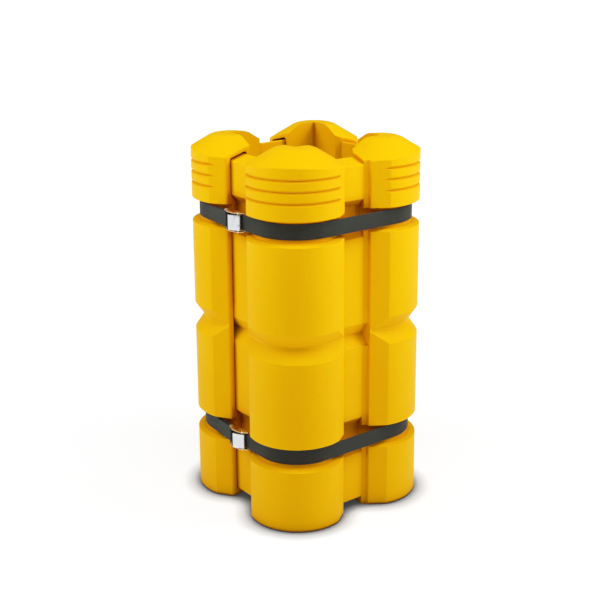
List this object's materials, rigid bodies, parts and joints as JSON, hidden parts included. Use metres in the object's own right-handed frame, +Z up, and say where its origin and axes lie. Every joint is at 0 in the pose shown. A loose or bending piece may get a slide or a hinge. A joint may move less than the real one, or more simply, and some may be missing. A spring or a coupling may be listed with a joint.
{
  "type": "column protector",
  "caption": "Adjustable square-column impact guard: hollow moulded corner segments interlock by sliding tongues and are drawn together by webbing straps with cam buckles.",
  "frame": {"origin": "on the floor, on the axis of the square column opening", "axes": "+Z up, the front corner towards +X -Y, the buckles on the -Y side"},
  "size_m": [0.544, 0.5507, 1.067],
  "materials": {
    "moulding": "fine moulded grain",
    "webbing": "woven polyester",
    "plated_steel": "zinc plated",
    "spring_steel": "bright drawn"
  },
  "bodies": {
    "front": {"front_segment": "moulding", "upper_strap_front_bend": "webbing", "upper_strap_front_right_span": "webbing", "upper_strap_running_end": "webbing", "lower_strap_front_bend": "webbing", "lower_strap_front_right_span": "webbing", "lower_strap_running_end": "webbing"},
    "right": {"right_segment": "moulding", "upper_strap_right_bend": "webbing", "upper_strap_right_back_span": "webbing", "lower_strap_right_bend": "webbing", "lower_strap_right_back_span": "webbing"},
    "back": {"back_segment": "moulding", "upper_strap_back_bend": "webbing", "upper_strap_back_left_span": "webbing", "lower_strap_back_bend": "webbing", "lower_strap_back_left_span": "webbing"},
    "left": {"left_segment": "moulding", "upper_strap_left_bend": "webbing", "upper_strap_sewn_end": "webbing", "upper_buckle_frame": "plated_steel", "upper_buckle_pivot_pin": "plated_steel", "upper_buckle_anchor_bar": "plated_steel", "upper_buckle_spring": "spring_steel", "lower_strap_left_bend": "webbing", "lower_strap_sewn_end": "webbing", "lower_buckle_frame": "plated_steel", "lower_buckle_pivot_pin": "plated_steel", "lower_buckle_anchor_bar": "plated_steel", "lower_buckle_spring": "spring_steel"},
    "upper_lever": {"upper_buckle_lever": "plated_steel"},
    "lower_lever": {"lower_buckle_lever": "plated_steel"}
  },
  "joints": [
    {"name": "right_slide", "type": "slide", "parent": "front", "child": "right", "axis": [0, 1, 0], "range_m": [-0.05, 0.035], "deforming": ["upper_strap_front_right_span", "lower_strap_front_right_span"]},
    {"name": "back_slide", "type": "slide", "parent": "right", "child": "back", "axis": [-1, 0, 0], "range_m": [-0.028, 0.035], "deforming": ["upper_strap_right_back_span", "lower_strap_right_back_span"]},
    {"name": "left_slide", "type": "slide", "parent": "back", "child": "left", "axis": [0, -1, 0], "range_m": [-0.05, 0.035], "deforming": ["upper_strap_back_left_span", "lower_strap_back_left_span"]},
    {"name": "upper_lever_hinge", "type": "hinge", "parent": "left", "child": "upper_lever", "pos_m": [0.041, -0.2592, 0.8575], "axis": [0, 0, -1], "range_deg": [0, 24], "stiffness_Nm_per_rad": 0.4, "springref_deg": -14.32, "deforming": ["upper_buckle_spring"]},
    {"name": "lower_lever_hinge", "type": "hinge", "parent": "left", "child": "lower_lever", "pos_m": [0.041, -0.2592, 0.2185], "axis": [0, 0, -1], "range_deg": [0, 24], "stiffness_Nm_per_rad": 0.4, "springref_deg": -14.32, "deforming": ["lower_buckle_spring"]}
  ],
  "couplings": [
    {"joint": "left_slide", "follows": "right_slide", "ratio": 1}
  ]
}
